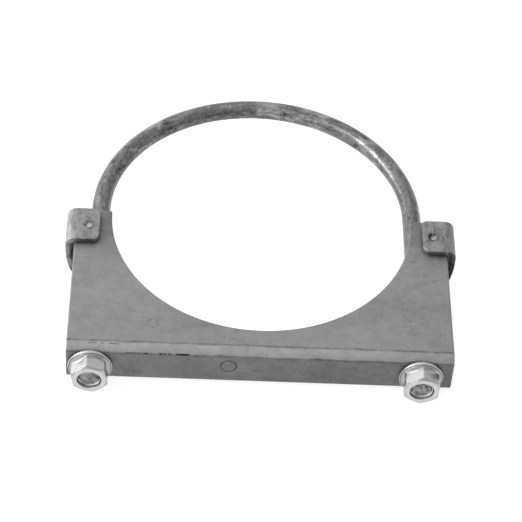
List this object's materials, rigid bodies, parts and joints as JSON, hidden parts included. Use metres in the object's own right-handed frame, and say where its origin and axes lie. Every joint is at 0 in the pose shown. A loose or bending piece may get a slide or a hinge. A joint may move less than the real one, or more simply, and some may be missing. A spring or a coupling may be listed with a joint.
{
  "type": "u-bolt pipe clamp",
  "caption": "Heavy saddle-type U-bolt clamp: a round-bar bow with threaded legs through a folded steel saddle, drawn down by flange nuts to grip a large pipe.",
  "frame": {"origin": "on the clamped pipe's axis, at the centre of the saddle's round cut-out, in the plane of the U-bolt (half way up the saddle)", "axes": "+Z along the pipe, up as the clamp lies flat; +Y from the saddle's web towards the crown of the U-bolt; +X to the right leg. The nuts face -Y."},
  "size_m": [0.169, 0.1721, 0.0223],
  "materials": {
    "saddle_sheet": "dull bare sheet steel, matt grey with faint scuffs and press marks",
    "rod_steel": "drawn bar with mottled dark mill scale and bright rubbed streaks",
    "zinc_nut": "bright zinc plate, satin"
  },
  "bodies": {
    "saddle": {"saddle": "saddle_sheet"},
    "u_bolt": {"u_bolt": "rod_steel"},
    "nut_left": {"flange_nut_left": "zinc_nut"},
    "nut_right": {"flange_nut_right": "zinc_nut"}
  },
  "joints": [
    {"name": "nut_left_spin", "type": "hinge", "parent": "saddle", "child": "nut_left", "pos_m": [-0.0705, -0.0789, 0], "axis": [0, 1, 0], "range_deg": [-1225, 3289]},
    {"name": "nut_right_spin", "type": "hinge", "parent": "saddle", "child": "nut_right", "pos_m": [0.0673, -0.0789, 0], "axis": [0, 1, 0], "range_deg": [-1225, 3289]},
    {"name": "u_bolt_draw", "type": "slide", "parent": "saddle", "child": "u_bolt", "axis": [0, -1, 0], "range_m": [-0.0054, 0.0145]}
  ],
  "couplings": [
    {"joint": "nut_left_spin", "follows": "u_bolt_draw", "rad_per_m": 3957.9},
    {"joint": "nut_right_spin", "follows": "u_bolt_draw", "rad_per_m": 3957.9}
  ]
}
